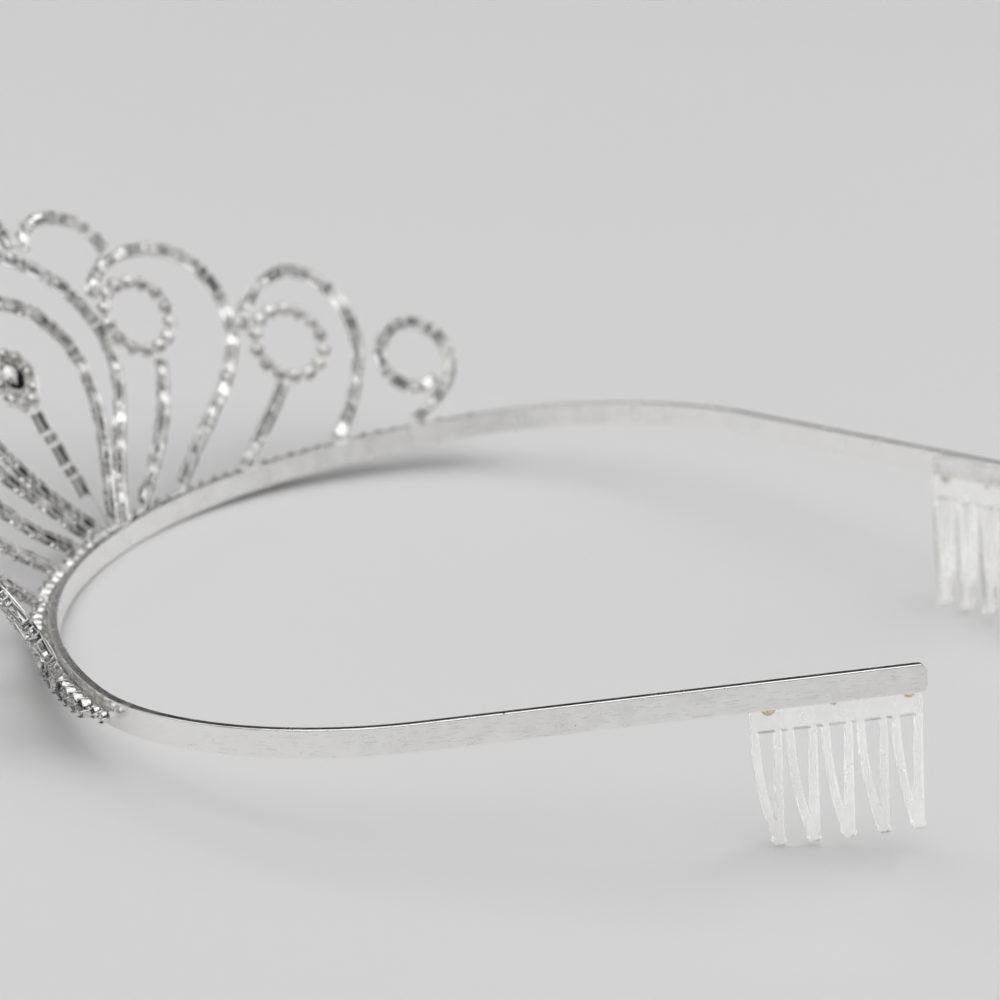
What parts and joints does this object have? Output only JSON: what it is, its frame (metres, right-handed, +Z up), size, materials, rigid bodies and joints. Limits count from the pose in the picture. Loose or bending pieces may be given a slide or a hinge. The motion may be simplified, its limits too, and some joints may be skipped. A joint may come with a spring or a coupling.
{
  "type": "bridal tiara",
  "caption": "Bridal tiara: a sprung silver headband with clear hair combs, a claw-set stone rail and flared wire scrolls of channel-set crystals.",
  "frame": {"origin": "on the table, under the middle of the tiara's footprint", "axes": "+Z up as it stands on a table, the wearer looks along -Y and +X is the wearer's left"},
  "size_m": [0.15, 0.1519, 0.0433],
  "materials": {
    "strip_silver": "bright silver plate, lightly brushed along the strip",
    "bright_silver": "bright silver plate",
    "crystal": "clear faceted crystal",
    "clear_plastic": "clear moulded plastic, slightly cloudy",
    "glue": "yellowed clear adhesive"
  },
  "bodies": {
    "root": {"base_rail": "bright_silver", "centre_claw_cup": "bright_silver", "centre_halo_cups": "bright_silver", "centre_halo_stones": "crystal", "centre_halo_wire": "bright_silver", "centre_stone": "crystal", "comb_glue_left": "glue", "comb_glue_right": "glue", "comb_left": "clear_plastic", "comb_right": "clear_plastic", "crest_arch_cups_left": "bright_silver", "crest_arch_cups_right": "bright_silver", "crest_arch_stones": "crystal", "crest_arch_wire_left": "bright_silver", "crest_arch_wire_right": "bright_silver", "crown_arch_cups": "bright_silver", "crown_arch_stones": "crystal", "crown_arch_wire": "bright_silver", "end_curl_cups_left": "bright_silver", "end_curl_cups_right": "bright_silver", "end_curl_stones": "crystal", "end_curl_wire_left": "bright_silver", "end_curl_wire_right": "bright_silver", "headband_strip": "strip_silver", "inner_circle_cups_left": "bright_silver", "inner_circle_cups_right": "bright_silver", "inner_circle_stones": "crystal", "inner_circle_wire_left": "bright_silver", "inner_circle_wire_right": "bright_silver", "inner_loop_cups_left": "bright_silver", "inner_loop_cups_right": "bright_silver", "inner_loop_stones": "crystal", "inner_loop_wire_left": "bright_silver", "inner_loop_wire_right": "bright_silver", "middle_arch_cups_left": "bright_silver", "middle_arch_cups_right": "bright_silver", "middle_arch_stones": "crystal", "middle_arch_wire_left": "bright_silver", "middle_arch_wire_right": "bright_silver", "outer_circle_cups_left": "bright_silver", "outer_circle_cups_right": "bright_silver", "outer_circle_stones": "crystal", "outer_circle_wire_left": "bright_silver", "outer_circle_wire_right": "bright_silver", "outer_loop_cups_left": "bright_silver", "outer_loop_cups_right": "bright_silver", "outer_loop_stones": "crystal", "outer_loop_wire_left": "bright_silver", "outer_loop_wire_right": "bright_silver", "rail_claw_cups": "bright_silver", "rail_stones": "crystal", "side_arch_cups_left": "bright_silver", "side_arch_cups_right": "bright_silver", "side_arch_stones": "crystal", "side_arch_wire_left": "bright_silver", "side_arch_wire_right": "bright_silver"}
  },
  "joints": []
}
